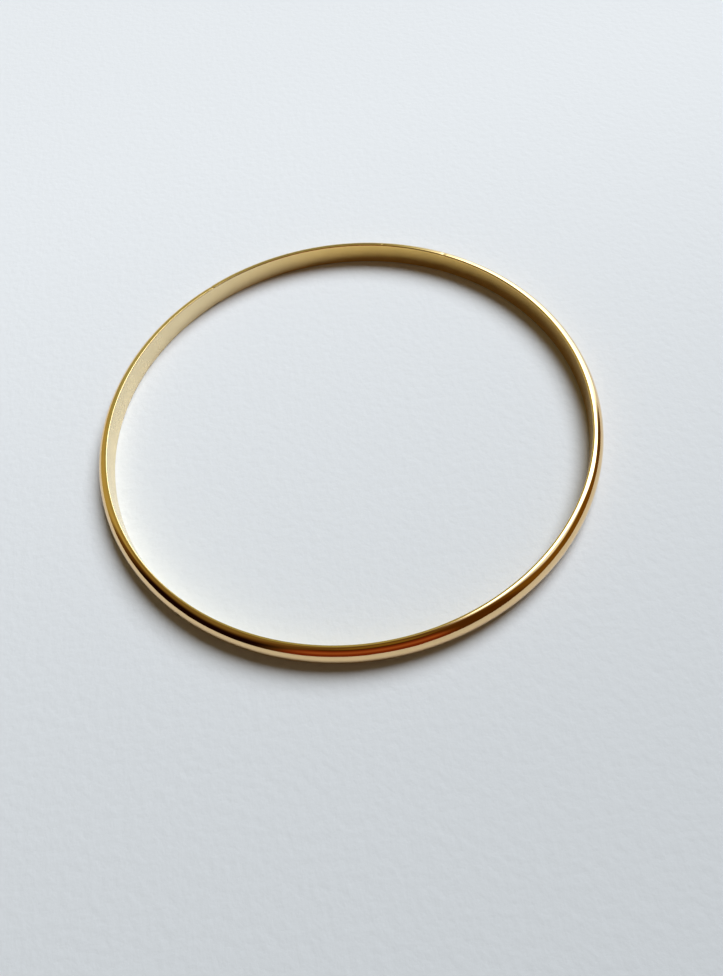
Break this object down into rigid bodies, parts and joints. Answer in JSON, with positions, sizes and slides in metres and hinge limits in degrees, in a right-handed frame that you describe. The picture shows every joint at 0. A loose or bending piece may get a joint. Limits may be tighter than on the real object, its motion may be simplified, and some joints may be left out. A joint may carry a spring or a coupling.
{
  "type": "bangle bracelet",
  "caption": "Plain round slip-on bangle: a closed ring of half-round strip, flat and polished inside, domed and mirror-bright outside, with its butt joint soldered shut.",
  "frame": {"origin": "centre of the circle on which the ring rests, at the ring's lowest edge", "axes": "+Z along the ring's axis, upwards from the surface it lies on; the soldered joint lies 121 degrees from +X towards +Y"},
  "size_m": [0.068, 0.068, 0.0033],
  "materials": {
    "polished_gold": "polished yellow gold, mirror-bright dome, finely rubbed inner wall",
    "gold_solder": "polished gold solder, slightly paler than the band"
  },
  "bodies": {
    "root": {"band": "polished_gold", "solder_seam": "gold_solder"}
  },
  "joints": []
}
